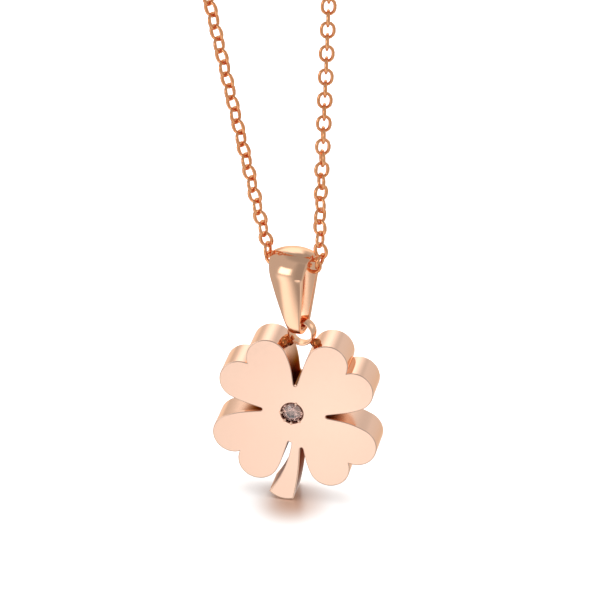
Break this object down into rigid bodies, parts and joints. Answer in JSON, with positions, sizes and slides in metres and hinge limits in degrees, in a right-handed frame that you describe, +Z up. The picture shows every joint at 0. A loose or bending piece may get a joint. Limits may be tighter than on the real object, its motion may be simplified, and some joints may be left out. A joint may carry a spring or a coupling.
{
  "type": "clover pendant necklace",
  "caption": "Necklace: a thick polished four leaf clover with a curved stem and one small stone hangs by a ring from a tapered bail on a fine cable chain.",
  "frame": {"origin": "where the necklace hangs: under the middle of the clasp, at the top of the chain's loop", "axes": "+Z up, the pendant hangs towards -Z; the clover's polished face looks along -Y; +X to the right as the face is seen"},
  "size_m": [0.0543, 0.0045, 0.2332],
  "materials": {
    "polished_metal": "mirror polished rose gold",
    "bail_metal": "mirror polished rose gold",
    "chain_metal": "polished rose gold wire",
    "cut_stone": "clear, brilliant cut"
  },
  "bodies": {
    "necklace": {"chain": "chain_metal", "clasp": "chain_metal"},
    "bail": {"bail": "bail_metal"},
    "clover": {"clover": "polished_metal", "stone": "cut_stone"}
  },
  "joints": [
    {"name": "bail_swing", "type": "hinge", "parent": "necklace", "child": "bail", "pos_m": [0.02073, 0.00016, -0.20529], "axis": [0.9582, -0.2675, 0.1011], "range_deg": [-90, 90]},
    {"name": "clover_tilt", "type": "hinge", "parent": "bail", "child": "clover", "pos_m": [0.0216, 0, -0.21214], "axis": [0.1736, 0.9848, 0], "range_deg": [-35, 35]}
  ]
}
